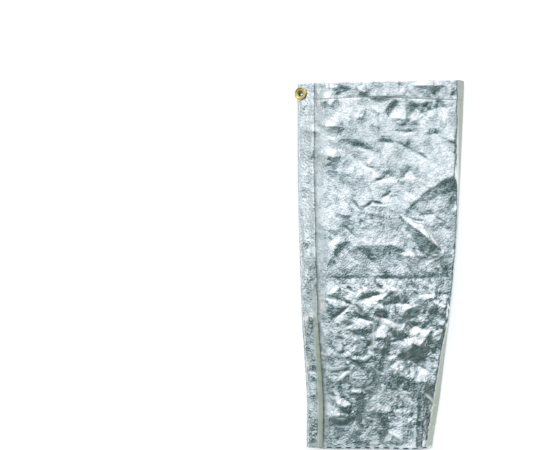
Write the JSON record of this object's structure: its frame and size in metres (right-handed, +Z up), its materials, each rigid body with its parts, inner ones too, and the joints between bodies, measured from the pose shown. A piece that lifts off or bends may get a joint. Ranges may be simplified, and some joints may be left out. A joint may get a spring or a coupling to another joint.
{
  "type": "aluminised protective arm sleeve",
  "caption": "Tapered arm sleeve of crumpled aluminised cloth lying flat, hollow from arm opening to wrist, with a lap seam, a casing hem and a brass eyelet.",
  "frame": {"origin": "on the floor under the middle of the sleeve's box as it lies flat", "axes": "+Y from the wrist to the arm opening, +X away from the lap seam, +Z up from the floor"},
  "size_m": [0.208, 0.45, 0.0263],
  "materials": {
    "foil_cloth": "aluminised face, crumpled, glossy silver",
    "seam_cloth": "aluminised face, worn along the folded edge",
    "eyelet_brass": "pressed brass, lightly tarnished"
  },
  "bodies": {
    "root": {"sleeve_body": "foil_cloth", "arm_hem": "foil_cloth", "wrist_hem": "foil_cloth", "seam_flap": "seam_cloth", "eyelet": "eyelet_brass"}
  },
  "joints": []
}
